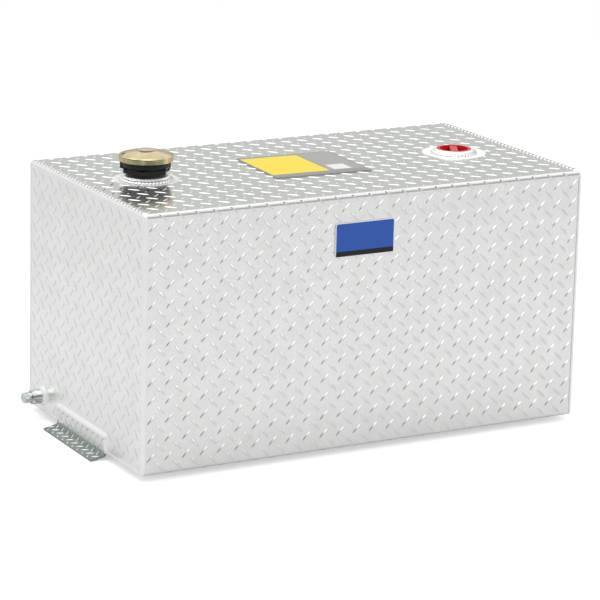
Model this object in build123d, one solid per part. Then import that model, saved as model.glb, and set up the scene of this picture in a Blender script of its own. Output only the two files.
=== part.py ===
from build123d import *

import os
from math import cos, radians, sin, tan

# Truck bed transfer tank of folded tread plate, in millimetres.
# The long front face looks towards -Y and the end with the drain towards -X.
# Z = 0 is the ground under the feet, and the origin is the middle of the whole part's base.

# Tank body, outside sizes
TANK_LENGTH = 914.0
TANK_WIDTH = 495.0
TANK_HEIGHT = 478.0
PLATE = 3.2
BEND_RADIUS = 7.0
MIN_CORNER = 0.5

# Weld beads
BEAD_LEG = 5.0
BEAD_PROUD = 0.8
BEAD_ROUND = 4.0
CROWN_OUT = 0.55
CROWN_UP = 0.6
SEAM_GAP = 2.0
SEAM_WIDTH = 8.0
SEAM_FROM_BOTTOM = 60.0

# Slosh baffles
BAFFLE_PLATE = 2.5
BAFFLE_FLANGE = 28.0
BAFFLE_BEND_RADIUS = 5.0
BAFFLE_SIDE_GAP = 12.0
BAFFLE_SPACING = 300.0
BAFFLE_NOTCH = 34.0
FLOW_HOLE_RADIUS = 40.0
FLOW_HOLE_PITCH = 135.0

# Fill bung and neck, heights measured from the top of the plate
FILL_FROM_LEFT = 129.0
FILL_BEHIND_MIDDLE = 13.5
FILL_BUNG_RADIUS = 44.8
FILL_BUNG_BODY_RADIUS = 39.0
BUNG_FLANGE = 8.0
BUNG_SHOULDER_DROP = 3.0
BUNG_SHOULDER_IN = 3.4
BUNG_DEPTH = 14.0
BUNG_WELD_LEG = 6.0
BUNG_WELD_HEIGHT = 3.6
FILL_THREAD_RADIUS = 33.6
THREAD_CLEARANCE = 0.3
FIXED_THREAD_GAP = 0.1
NECK_BORE_RADIUS = 27.0
NECK_BASE_RADIUS = 36.8
NECK_BASE_GAP = 0.2
NECK_HEX_BOTTOM = 14.4
NECK_HEX_HEIGHT = 7.6
NECK_HEX_ACROSS_FLATS = 78.0
NECK_HEX_TURN = -4.0
NECK_CONE_HEIGHT = 4.8
NECK_CONE_FOOT_RADIUS = 38.4
COLLAR_RADIUS = 46.2
COLLAR_THICKNESS = 7.0
SEAT_RADIUS = 36.8
SEAT_HEIGHT = 6.0
LUG_ANGLE = 165.0
LUG_WIDTH = 18.0
LUG_TIP_RADIUS = 8.0
LUG_REACH = 48.8
LUG_INNER = 36.0
LUG_BOTTOM = 22.8
EYE_ANGLE = -26.0
EYE_WIRE_RADIUS = 1.3
EYE_REACH = 44.6
EYE_ROOT = 3.0
EYE_STEP = 4.0
EYE_LOW = 16.0
EYE_BEND = 1.8

# Cap, heights measured from the top of the plate
CAP_RADIUS = 50.8
CAP_SHEET = 1.2
CAP_SKIRT = 11.0
CAP_DOME_RISE = 8.2
CAP_SHOULDER_RADIUS = 3.0
CAP_DISC_RADIUS = 17.0
CAP_DISC_RISE = 0.4
PADLOCK_RADIUS = 3.5
PADLOCK_FROM_AXIS = 42.4
PADLOCK_BOSS_RADIUS = 7.5
PADLOCK_BOSS_RISE = 1.6
INSERT_RADIUS = 30.0
INSERT_WALL = 3.0
INSERT_FLANGE = 3.3
INSERT_BOTTOM = 23.8
INSERT_EDGE_GAP = 0.2
INSERT_END_GAP = 2.0
GASKET_THICKNESS = 3.0
GASKET_SLACK = 0.5

# Breather valve inside the cap
CAGE_RADIUS = 10.0
CAGE_WALL = 2.6
CAGE_FLOOR = 2.0
CAGE_BOTTOM = 26.8
VENT_HOLE_RADIUS = 3.5
POPPET_SLACK = 0.4
POPPET_THICKNESS = 2.5
POPPET_STEM_RADIUS = 2.2
POPPET_STEM = 6.0
SPRING_WIRE_RADIUS = 0.4
SPRING_RADIUS = 4.2
SPRING_TURNS = 5

# Pump bung and red plug
PUMP_FROM_RIGHT = 134.5
PUMP_BEHIND_MIDDLE = -8.0
PUMP_BUNG_RADIUS = 38.4
PUMP_BUNG_BODY_RADIUS = 36.0
PLUG_HEAD_RADIUS = 33.4
PLUG_HEAD_THICKNESS = 4.0
PLUG_HEAD_PROUD = 0.2
PLUG_THREAD_RADIUS = 29.9
PLUG_THREAD = 16.0
PLUG_RECESS_RADIUS = 27.5
PLUG_RECESS_DRAFT = 1.5
PLUG_RECESS_DEPTH = 14.0
PLUG_BAR_WIDTH = 14.0
PLUG_BAR_DROP = 0.8
PLUG_BAR_INSET = 1.0
PLUG_BAR_ANGLE = 62.0

# Placard on the top and badge on the front
PLACARD_WIDTH = 198.0
PLACARD_DEPTH = 177.0
PLACARD_THICKNESS = 2.0
PLACARD_CORNER = 2.0
PLACARD_RIGHT_OF_MIDDLE = -2.0
PLACARD_BEHIND_MIDDLE = 4.5
PLACARD_TURN = -2.3
BADGE_WIDTH = 123.0
BADGE_HEIGHT = 64.0
BADGE_THICKNESS = 2.6
BADGE_CORNER = 5.0
BADGE_LEFT_OF_MIDDLE = 13.0
BADGE_FROM_TOP = 83.0

# Foot brackets on both ends
BRACKET_LENGTH = 211.0
BRACKET_BEHIND_MIDDLE = 6.0
BRACKET_LEG = 30.0
BRACKET_SINK = 2.6
BRACKET_FOOT = 29.2
BRACKET_SLOPE = 11.7
BRACKET_INSIDE_RADIUS = 3.2
BRACKET_WELD_LEG = 5.0
BRACKET_WELD_TOE = 0.6

# Drain coupling and plug on the left end
DRAIN_FROM_BACK = 62.5
DRAIN_FROM_BOTTOM = 31.0
COUPLING_RADIUS = 14.0
COUPLING_OUT = 26.0
COUPLING_IN = 6.0
COUPLING_CHAMFER = 1.0
COUPLING_WELD_LEG = 6.0
DRAIN_THREAD_RADIUS = 10.3
DRAIN_THREAD = 20.0
DRAIN_NECK = 4.0
DRAIN_HEX_ACROSS_FLATS = 19.0
DRAIN_HEX_LENGTH = 11.5
DRAIN_HEX_CHAMFER = 1.2

# Places worked out from the sizes above
FOOT_DROP = BRACKET_FOOT * sin(radians(BRACKET_SLOPE)) + PLATE * cos(radians(BRACKET_SLOPE))
GROUND_GAP = BRACKET_SINK + FOOT_DROP
FOOT_REACH = PLATE + BRACKET_FOOT * cos(radians(BRACKET_SLOPE))
DRAIN_REACH = COUPLING_OUT + DRAIN_NECK + DRAIN_HEX_LENGTH
LEFT = (DRAIN_REACH - FOOT_REACH) / 2 - TANK_LENGTH / 2
RIGHT = LEFT + TANK_LENGTH
FRONT = (BADGE_THICKNESS - BEAD_PROUD) / 2 - TANK_WIDTH / 2
BACK = FRONT + TANK_WIDTH
BOTTOM = GROUND_GAP
TOP = BOTTOM + TANK_HEIGHT
MIDDLE_X = (LEFT + RIGHT) / 2
MIDDLE_Y = (FRONT + BACK) / 2
MIDDLE_Z = (BOTTOM + TOP) / 2
FILL_PLACE = (LEFT + FILL_FROM_LEFT, MIDDLE_Y + FILL_BEHIND_MIDDLE)
PUMP_PLACE = (RIGHT - PUMP_FROM_RIGHT, MIDDLE_Y + PUMP_BEHIND_MIDDLE)
PLACARD_PLACE = (MIDDLE_X + PLACARD_RIGHT_OF_MIDDLE, MIDDLE_Y + PLACARD_BEHIND_MIDDLE)
BRACKET_Y = MIDDLE_Y + BRACKET_BEHIND_MIDDLE
NECK_HEX_TOP = NECK_HEX_BOTTOM + NECK_HEX_HEIGHT
COLLAR_BOTTOM = NECK_HEX_TOP + NECK_CONE_HEIGHT
COLLAR_TOP = COLLAR_BOTTOM + COLLAR_THICKNESS
SEAT_TOP = COLLAR_TOP + SEAT_HEIGHT
GASKET_TOP = SEAT_TOP + GASKET_THICKNESS
INSERT_TOP = GASKET_TOP + INSERT_FLANGE
CAP_RIM_TOP = INSERT_TOP + CAP_SHEET
CAP_SKIRT_BOTTOM = CAP_RIM_TOP - CAP_SKIRT
PLUG_TOP = BUNG_FLANGE + PLUG_HEAD_PROUD
PLUG_SHOULDER = PLUG_TOP - PLUG_HEAD_THICKNESS


def cylinder(radius, low, high):
    """An upright cylinder on the Z axis from one height to another."""
    return Pos(0, 0, (low + high) / 2) * Cylinder(radius, high - low)


def hexagon(across_flats, low, high):
    """An upright hexagonal prism on the Z axis."""
    outline = RegularPolygon(across_flats / 2, 6, major_radius=False)
    return Pos(0, 0, low) * extrude(outline, high - low)


def ring_of(points):
    """Turn a closed outline of (radius, height) points about the Z axis."""
    outline = make_face(Polyline(*[(r, 0, z) for r, z in points], close=True))
    return revolve(outline, Axis.Z)


def end_outline(width, height, corner):
    """A rounded rectangle that lies in the plane of the tank's ends, centred on the tank."""
    return Plane.YZ * Pos(MIDDLE_Y, MIDDLE_Z) * RectangleRounded(width, height, corner)


def end_block(x_low, x_high, inset):
    """A block along X with the tank's rounded section, drawn in by an inset on each side."""
    corner = max(BEND_RADIUS - inset, MIN_CORNER)
    outline = end_outline(TANK_WIDTH - 2 * inset, TANK_HEIGHT - 2 * inset, corner)
    return Pos(x_low, 0, 0) * extrude(outline, x_high - x_low)


def mirrored(solid):
    """The same piece on the other end of the tank."""
    return mirror(solid, Plane.YZ.offset(MIDDLE_X))


def on_top(solid, place):
    """Stand a piece built about the Z axis on the tank's top."""
    return Pos(*place, TOP) * solid


def tank_wrapper():
    """Top, front, bottom and back folded from one plate, with its seam left open."""
    shell = end_block(LEFT + PLATE, RIGHT - PLATE, 0)
    shell -= end_block(LEFT, RIGHT, PLATE)
    seam = Pos(MIDDLE_X, BACK, BOTTOM + SEAM_FROM_BOTTOM)
    shell -= seam * Box(TANK_LENGTH, 3 * PLATE, SEAM_GAP)
    shell -= on_top(cylinder(FILL_BUNG_BODY_RADIUS, -2 * PLATE, PLATE), FILL_PLACE)
    shell -= on_top(cylinder(PUMP_BUNG_BODY_RADIUS, -2 * PLATE, PLATE), PUMP_PLACE)
    return shell


def seam_weld():
    """The bead that closes the wrapper low on the back: a root in the gap and a low crown."""
    length = TANK_LENGTH - 2 * BEAD_LEG
    along = Pos(MIDDLE_X, BACK, BOTTOM + SEAM_FROM_BOTTOM)
    root = along * Pos(0, -PLATE / 2, 0) * Box(length, PLATE, SEAM_GAP)
    crown = along * Pos(0, BEAD_PROUD / 2, 0) * Box(length, BEAD_PROUD, SEAM_WIDTH)
    crown = chamfer(crown.faces().sort_by(Axis.Y)[-1].edges().filter_by(Axis.X), BEAD_PROUD / 2)
    return root + crown


def end_panel():
    """The flat plate that closes the left end."""
    return end_block(LEFT, LEFT + PLATE, PLATE)


def end_weld():
    """The bead round the left end: it fills the open corner and laps both plates, flush underneath."""
    bead = end_block(LEFT - BEAD_PROUD, LEFT + BEAD_LEG, -BEAD_PROUD)
    bead = fillet(bead.faces().sort_by(Axis.X)[0].edges(), BEAD_ROUND)
    bead -= end_block(LEFT - PLATE, LEFT + PLATE, BEAD_LEG)
    bead -= end_block(LEFT, LEFT + PLATE, PLATE)
    bead -= end_block(LEFT + PLATE, RIGHT, 0)
    bead -= Pos(LEFT, MIDDLE_Y, BOTTOM - BEAD_LEG / 2) * Box(4 * BEAD_LEG, 2 * TANK_WIDTH, BEAD_LEG)
    return bead - bracket() - bracket_weld()


def baffle():
    """A slosh baffle on the tank's middle: a web with flow holes, folded at top and bottom."""
    height = TANK_HEIGHT - 2 * PLATE
    width = TANK_WIDTH - 2 * PLATE - 2 * BAFFLE_SIDE_GAP
    outer = Pos(BAFFLE_FLANGE / 2, 0, 0) * Box(BAFFLE_FLANGE, width, height)
    outer = fillet(outer.faces().sort_by(Axis.X)[0].edges().filter_by(Axis.Y), BAFFLE_BEND_RADIUS)
    inner_height = height - 2 * BAFFLE_PLATE
    inner = Pos(BAFFLE_PLATE + BAFFLE_FLANGE / 2, 0, 0) * Box(BAFFLE_FLANGE, width, inner_height)
    inner_edges = inner.faces().sort_by(Axis.X)[0].edges().filter_by(Axis.Y)
    web = outer - fillet(inner_edges, BAFFLE_BEND_RADIUS - BAFFLE_PLATE)
    for side in (-1, 1):
        for end in (-1, 1):
            web -= Pos(0, side * width / 2, end * height / 2) * Box(
                4 * BAFFLE_FLANGE, BAFFLE_NOTCH, BAFFLE_NOTCH
            )
    for step in (-1, 0, 1):
        web -= Pos(0, step * FLOW_HOLE_PITCH, 0) * Rot(0, 90, 0) * Cylinder(FLOW_HOLE_RADIUS, BAFFLE_FLANGE)
    return Pos(MIDDLE_X, MIDDLE_Y, MIDDLE_Z) * web


def bung(radius, body_radius, bore_radius):
    """A ring that passes through the plate, with a flange on it whose shoulder slopes down outwards."""
    outline = [
        (bore_radius, -BUNG_DEPTH),
        (body_radius, -BUNG_DEPTH),
        (body_radius, 0),
        (radius, 0),
        (radius, BUNG_FLANGE - BUNG_SHOULDER_DROP),
        (radius - BUNG_SHOULDER_IN, BUNG_FLANGE),
        (bore_radius, BUNG_FLANGE),
    ]
    return ring_of(outline)


def fillet_bead(radius, leg, height):
    """A slightly crowned fillet bead round a ring of the given radius."""
    crown = (radius + CROWN_OUT * leg, CROWN_UP * height)
    return ring_of([(radius, 0), (radius + leg, 0), crown, (radius, height)])


def neck_eye():
    """The small wire-like lanyard eye moulded on the side of the neck."""
    inside = NECK_CONE_FOOT_RADIUS - EYE_WIRE_RADIUS
    top = COLLAR_BOTTOM + EYE_WIRE_RADIUS
    path = FilletPolyline(
        (COLLAR_RADIUS - EYE_ROOT, 0, top),
        (EYE_REACH, 0, top - EYE_STEP),
        (inside + EYE_STEP, 0, EYE_LOW),
        (inside, 0, NECK_HEX_BOTTOM + EYE_ROOT),
        radius=EYE_BEND,
    )
    section = Plane(origin=path @ 0, z_dir=path % 0) * Circle(EYE_WIRE_RADIUS)
    return Rot(0, 0, EYE_ANGLE) * sweep(section, path)


def padlock_hole(low, high):
    """The round hole for a padlock's shackle, between two heights."""
    return Rot(0, 0, LUG_ANGLE) * Pos(PADLOCK_FROM_AXIS, 0, 0) * cylinder(PADLOCK_RADIUS, low, high)


def filler_neck():
    """Black neck: threaded spigot, base, hexagon, cone, collar, seat, padlock lug and lanyard eye."""
    body = cylinder(FILL_THREAD_RADIUS, -BUNG_DEPTH, NECK_HEX_BOTTOM)
    body += cylinder(NECK_BASE_RADIUS, BUNG_FLANGE + NECK_BASE_GAP, NECK_HEX_BOTTOM)
    body += Rot(0, 0, NECK_HEX_TURN) * hexagon(NECK_HEX_ACROSS_FLATS, NECK_HEX_BOTTOM, NECK_HEX_TOP)
    cone = Cone(NECK_CONE_FOOT_RADIUS, COLLAR_RADIUS, NECK_CONE_HEIGHT)
    body += Pos(0, 0, NECK_HEX_TOP + NECK_CONE_HEIGHT / 2) * cone
    body += cylinder(COLLAR_RADIUS, COLLAR_BOTTOM, COLLAR_TOP)
    body += cylinder(SEAT_RADIUS, COLLAR_TOP, SEAT_TOP)
    lug_length = LUG_REACH - LUG_INNER
    lug = Box(lug_length, LUG_WIDTH, COLLAR_TOP - LUG_BOTTOM)
    lug = fillet(lug.edges().filter_by(Axis.Z).group_by(Axis.X)[-1], LUG_TIP_RADIUS)
    body += Rot(0, 0, LUG_ANGLE) * Pos(LUG_INNER + lug_length / 2, 0, (LUG_BOTTOM + COLLAR_TOP) / 2) * lug
    body += neck_eye()
    body -= cylinder(NECK_BORE_RADIUS, -BUNG_DEPTH, SEAT_TOP)
    body -= cylinder(INSERT_RADIUS + THREAD_CLEARANCE, INSERT_BOTTOM - INSERT_END_GAP, SEAT_TOP)
    return body - padlock_hole(NECK_HEX_TOP, SEAT_TOP)


def dome(radius, rise, low):
    """The cap of a sphere with a given rise, standing on a plane at a height."""
    sphere_radius = (radius ** 2 + rise ** 2) / (2 * rise)
    ball = Pos(0, 0, low + rise - sphere_radius) * Sphere(sphere_radius)
    return ball & cylinder(radius, low, low + rise)


def cap_form(radius, low, high, rise):
    """The cap's solid form: an upright side, a rounded shoulder and a shallow dome."""
    dome_radius = CAP_RADIUS - CAP_SHOULDER_RADIUS
    form = cylinder(radius, low, high)
    form = fillet(form.faces().sort_by(Axis.Z)[-1].edges(), radius - dome_radius)
    return form + dome(dome_radius, rise, high)


def cap_shell():
    """Pressed steel cap with a centre disc and a raised boss round its padlock hole."""
    shell = cap_form(CAP_RADIUS, CAP_SKIRT_BOTTOM, CAP_RIM_TOP, CAP_DOME_RISE)
    disc_top = CAP_RIM_TOP + CAP_DOME_RISE + CAP_DISC_RISE
    shell += cylinder(CAP_DISC_RADIUS, CAP_RIM_TOP, disc_top)
    shell -= cap_form(CAP_RADIUS - CAP_SHEET, CAP_SKIRT_BOTTOM, INSERT_TOP, CAP_DOME_RISE)
    boss = cylinder(PADLOCK_BOSS_RADIUS, INSERT_TOP, CAP_RIM_TOP + PADLOCK_BOSS_RISE)
    shell += Rot(0, 0, LUG_ANGLE) * Pos(PADLOCK_FROM_AXIS, 0, 0) * boss
    return shell - padlock_hole(CAP_SKIRT_BOTTOM, disc_top)


def cap_insert():
    """Threaded black insert under the cap, with the cage of the breather valve."""
    insert = cylinder(CAP_RADIUS - CAP_SHEET - INSERT_EDGE_GAP, GASKET_TOP, INSERT_TOP)
    insert = fillet(insert.faces().sort_by(Axis.Z)[-1].edges(), CAP_SHOULDER_RADIUS - CAP_SHEET)
    insert += cylinder(INSERT_RADIUS, INSERT_BOTTOM, GASKET_TOP)
    insert -= cylinder(INSERT_RADIUS - INSERT_WALL, INSERT_BOTTOM, GASKET_TOP)
    insert += cylinder(CAGE_RADIUS, CAGE_BOTTOM, GASKET_TOP)
    insert -= cylinder(CAGE_RADIUS - CAGE_WALL, CAGE_BOTTOM + CAGE_FLOOR, GASKET_TOP)
    insert -= cylinder(VENT_HOLE_RADIUS, CAGE_BOTTOM, CAGE_BOTTOM + CAGE_FLOOR)
    return insert - padlock_hole(GASKET_TOP, INSERT_TOP)


def cap_gasket():
    """Flat ring that seals the insert's flange on the neck's seat."""
    ring = cylinder(SEAT_RADIUS, SEAT_TOP, GASKET_TOP)
    return ring - cylinder(INSERT_RADIUS + GASKET_SLACK, SEAT_TOP, GASKET_TOP)


def vent_poppet():
    """The breather's disc, resting on the cage's floor, with a stem inside the spring."""
    floor = CAGE_BOTTOM + CAGE_FLOOR
    disc = cylinder(CAGE_RADIUS - CAGE_WALL - POPPET_SLACK, floor, floor + POPPET_THICKNESS)
    return disc + cylinder(POPPET_STEM_RADIUS, floor, floor + POPPET_THICKNESS + POPPET_STEM)


def vent_spring():
    """The breather's coil spring, between the poppet and the insert's flange."""
    low = CAGE_BOTTOM + CAGE_FLOOR + POPPET_THICKNESS + SPRING_WIRE_RADIUS
    height = GASKET_TOP - SPRING_WIRE_RADIUS - low
    path = Helix(height / SPRING_TURNS, height, SPRING_RADIUS)
    section = Plane(origin=path @ 0, z_dir=path % 0) * Circle(SPRING_WIRE_RADIUS)
    return Pos(0, 0, low) * sweep(section, path, is_frenet=True)


def pump_bung():
    """The second flanged ring, counterbored so that the plug's head lies down in it."""
    ring = bung(PUMP_BUNG_RADIUS, PUMP_BUNG_BODY_RADIUS, PLUG_THREAD_RADIUS + THREAD_CLEARANCE)
    head = PLUG_HEAD_RADIUS + THREAD_CLEARANCE
    return ring - cylinder(head, PLUG_SHOULDER, BUNG_FLANGE)


def pump_port_plug():
    """Red plug: a head, a threaded body, a drafted recess and a finger bar across it."""
    plug = cylinder(PLUG_HEAD_RADIUS, PLUG_SHOULDER, PLUG_TOP)
    plug += cylinder(PLUG_THREAD_RADIUS, PLUG_SHOULDER - PLUG_THREAD, PLUG_SHOULDER)
    recess = Cone(PLUG_RECESS_RADIUS - PLUG_RECESS_DRAFT, PLUG_RECESS_RADIUS, PLUG_RECESS_DEPTH)
    recess = Pos(0, 0, PLUG_TOP - PLUG_RECESS_DEPTH / 2) * recess
    plug -= recess
    bar_height = PLUG_RECESS_DEPTH - PLUG_BAR_DROP
    bar_low = PLUG_TOP - PLUG_RECESS_DEPTH
    bar = Pos(0, 0, bar_low + bar_height / 2) * Box(2 * PLUG_RECESS_RADIUS, PLUG_BAR_WIDTH, bar_height)
    bar = Rot(0, 0, PLUG_BAR_ANGLE) * bar
    return plug + (bar & cylinder(PLUG_THREAD_RADIUS - PLUG_BAR_INSET, bar_low, PLUG_TOP))


def placard():
    """The thin sheet on the tank's top."""
    sheet = extrude(RectangleRounded(PLACARD_WIDTH, PLACARD_DEPTH, PLACARD_CORNER), PLACARD_THICKNESS)
    return on_top(Rot(0, 0, PLACARD_TURN) * sheet, PLACARD_PLACE)


def badge():
    """The plate on the front face."""
    outline = Plane.XZ * RectangleRounded(BADGE_WIDTH, BADGE_HEIGHT, BADGE_CORNER)
    place = Pos(MIDDLE_X - BADGE_LEFT_OF_MIDDLE, FRONT, TOP - BADGE_FROM_TOP)
    return place * extrude(outline, BADGE_THICKNESS)


def bracket():
    """The left foot bracket: an upright leg on the end panel and a foot that slopes away and down."""
    slope = radians(BRACKET_SLOPE)
    face = LEFT - PLATE
    root = BOTTOM - BRACKET_SINK
    leg_top = BOTTOM + BRACKET_LEG
    tip_x = face - BRACKET_FOOT * cos(slope)
    tip_z = root - BRACKET_FOOT * sin(slope)
    toe_x = tip_x + PLATE * sin(slope)
    toe_z = tip_z - PLATE * cos(slope)
    heel_z = toe_z + (LEFT - toe_x) * tan(slope)
    outline = FilletPolyline(
        (LEFT, 0, leg_top),
        (LEFT, 0, heel_z),
        (toe_x, 0, toe_z),
        (tip_x, 0, tip_z),
        (face, 0, root),
        (face, 0, leg_top),
        radius=[0, BRACKET_INSIDE_RADIUS + PLATE, 0, 0, BRACKET_INSIDE_RADIUS, 0],
        close=True,
    )
    strip = extrude(make_face(outline), BRACKET_LENGTH / 2, dir=(0, 1, 0), both=True)
    return Pos(0, BRACKET_Y, 0) * strip


def bracket_weld():
    """The fillet bead over the top and down both ends of the left bracket's leg."""

    def outline(x, leg):
        height = BRACKET_LEG + leg
        place = Plane(origin=(x, BRACKET_Y, BOTTOM + height / 2), x_dir=(0, 1, 0), z_dir=(-1, 0, 0))
        return place * Rectangle(BRACKET_LENGTH + 2 * leg, height)

    bead = loft([outline(LEFT, BRACKET_WELD_LEG), outline(LEFT - PLATE, BRACKET_WELD_TOE)])
    leg_space = Box(4 * PLATE, BRACKET_LENGTH, 2 * BRACKET_LEG)
    return bead - Pos(LEFT, BRACKET_Y, BOTTOM) * leg_space


def drain_axis():
    """The place of the drain: its Z axis points out of the left end, from the panel's outer face."""
    origin = (LEFT, BACK - DRAIN_FROM_BACK, BOTTOM + DRAIN_FROM_BOTTOM)
    return Plane(origin=origin, x_dir=(0, 1, 0), z_dir=(-1, 0, 0)).location


def drain_coupling():
    """The half coupling through the left end panel."""
    ring = cylinder(COUPLING_RADIUS, -PLATE - COUPLING_IN, COUPLING_OUT)
    ring = chamfer(ring.faces().sort_by(Axis.Z)[-1].edges(), COUPLING_CHAMFER)
    ring -= cylinder(DRAIN_THREAD_RADIUS + THREAD_CLEARANCE, -PLATE - COUPLING_IN, COUPLING_OUT)
    return drain_axis() * ring


def drain_coupling_weld():
    """The fillet bead round the coupling on the panel's outer face."""
    return drain_axis() * fillet_bead(COUPLING_RADIUS, COUPLING_WELD_LEG, COUPLING_WELD_LEG)


def drain_plug():
    """Hexagon head plug in the coupling."""
    hex_low = COUPLING_OUT + DRAIN_NECK
    hex_high = hex_low + DRAIN_HEX_LENGTH
    head = hexagon(DRAIN_HEX_ACROSS_FLATS, hex_low, hex_high)
    crown = cylinder(DRAIN_HEX_ACROSS_FLATS / 2 + DRAIN_HEX_CHAMFER, hex_low, hex_high)
    crown = chamfer(crown.faces().sort_by(Axis.Z)[-1].edges(), DRAIN_HEX_CHAMFER)
    shank = cylinder(DRAIN_THREAD_RADIUS, COUPLING_OUT - DRAIN_THREAD, hex_low)
    return drain_axis() * ((head & crown) + shank)


def all_pieces():
    """Every piece of the tank by name, in its place."""
    step = Pos(BAFFLE_SPACING / 2, 0, 0)
    fill = {
        "fill_bung": bung(FILL_BUNG_RADIUS, FILL_BUNG_BODY_RADIUS, FILL_THREAD_RADIUS + FIXED_THREAD_GAP),
        "fill_bung_weld": fillet_bead(FILL_BUNG_RADIUS, BUNG_WELD_LEG, BUNG_WELD_HEIGHT),
        "filler_neck": filler_neck(),
        "cap_shell": cap_shell(),
        "cap_insert": cap_insert(),
        "cap_gasket": cap_gasket(),
        "vent_poppet": vent_poppet(),
        "vent_spring": vent_spring(),
    }
    pump = {
        "pump_bung": pump_bung(),
        "pump_bung_weld": fillet_bead(PUMP_BUNG_RADIUS, BUNG_WELD_LEG, BUNG_WELD_HEIGHT),
        "pump_port_plug": pump_port_plug(),
    }
    pieces = {
        "tank_wrapper": tank_wrapper(),
        "seam_weld": seam_weld(),
        "end_panel_left": end_panel() - drain_axis() * cylinder(COUPLING_RADIUS, -PLATE, 0),
        "end_panel_right": mirrored(end_panel()),
        "end_weld_left": end_weld(),
        "end_weld_right": mirrored(end_weld()),
        "baffle_left": step.inverse() * baffle(),
        "baffle_right": step * baffle(),
        "placard": placard(),
        "badge": badge(),
        "bracket_left": bracket(),
        "bracket_right": mirrored(bracket()),
        "bracket_weld_left": bracket_weld(),
        "bracket_weld_right": mirrored(bracket_weld()),
        "drain_coupling": drain_coupling(),
        "drain_coupling_weld": drain_coupling_weld(),
        "drain_plug": drain_plug(),
    }
    pieces.update({name: on_top(solid, FILL_PLACE) for name, solid in fill.items()})
    pieces.update({name: on_top(solid, PUMP_PLACE) for name, solid in pump.items()})
    return pieces


os.makedirs("parts", exist_ok=True)
for name, solid in all_pieces().items():
    export_step(solid, f"parts/{name}.step")
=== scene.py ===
"""Looks of the truck bed transfer tank: tread lugs, weld beads, finishes, studio and camera."""

import logging
import math
from collections.abc import Callable, Iterator, Sequence
from dataclasses import dataclass
from enum import Enum

import bmesh
import bpy
from mathutils import Matrix, Vector

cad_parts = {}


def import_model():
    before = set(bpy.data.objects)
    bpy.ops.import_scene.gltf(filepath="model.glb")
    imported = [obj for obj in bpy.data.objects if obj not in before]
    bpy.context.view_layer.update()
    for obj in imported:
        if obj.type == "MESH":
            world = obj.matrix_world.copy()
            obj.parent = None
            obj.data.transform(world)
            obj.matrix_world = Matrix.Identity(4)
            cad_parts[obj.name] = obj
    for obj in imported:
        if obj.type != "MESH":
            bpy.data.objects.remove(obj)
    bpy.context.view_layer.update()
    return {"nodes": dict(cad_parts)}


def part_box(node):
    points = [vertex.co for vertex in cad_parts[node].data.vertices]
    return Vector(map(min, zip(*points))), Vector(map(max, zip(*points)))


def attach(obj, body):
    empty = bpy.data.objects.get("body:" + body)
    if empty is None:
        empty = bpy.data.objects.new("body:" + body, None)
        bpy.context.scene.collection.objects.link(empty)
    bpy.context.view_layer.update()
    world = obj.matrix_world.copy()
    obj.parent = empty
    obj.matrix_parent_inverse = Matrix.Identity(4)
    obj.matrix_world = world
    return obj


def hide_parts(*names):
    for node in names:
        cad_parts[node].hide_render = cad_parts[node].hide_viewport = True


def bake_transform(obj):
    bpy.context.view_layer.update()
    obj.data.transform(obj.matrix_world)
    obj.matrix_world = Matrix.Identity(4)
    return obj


LOG = logging.getLogger("transfer_tank")
MM = 0.001
MERGE = 0.02 * MM
TOUCH = 0.001 * MM
SIDES = (("left", -1.0), ("right", 1.0))
Colour = tuple[float, float, float]
Pair = tuple[float, float]
BMesh = bmesh.types.BMesh
Material = bpy.types.Material
Object = bpy.types.Object
Node = bpy.types.Node
Socket = bpy.types.NodeSocket
Tree = bpy.types.NodeTree


def middle_of(node: str) -> Vector:
    """Give the middle of a node's box."""
    low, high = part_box(node)
    return (low + high) / 2


def rgba(colour: Colour) -> tuple[float, float, float, float]:
    """Give a colour with full alpha."""
    return (*colour, 1.0)


@dataclass(frozen=True)
class TankFaces:
    """Places of the tank's outer faces and of the things on them, in metres."""

    left: float
    right: float
    front: float
    back: float
    bottom: float
    top: float
    fill: Vector
    pump: Vector
    drain: Vector

    @classmethod
    def read(cls) -> "TankFaces":
        """Read the faces from the frame's nodes.

        Returns:
            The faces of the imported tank.
        """
        low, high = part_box("tank_wrapper")
        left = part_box("end_panel_left")[0].x
        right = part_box("end_panel_right")[1].x
        ports = (middle_of(node) for node in ("cap_gasket", "pump_bung", "drain_coupling"))
        return cls(left, right, low.y, high.y, low.z, high.z, *ports)

    def wall(self, outward: float) -> float:
        """Give the outer face of the end on one side."""
        return self.left if outward < 0 else self.right


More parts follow.
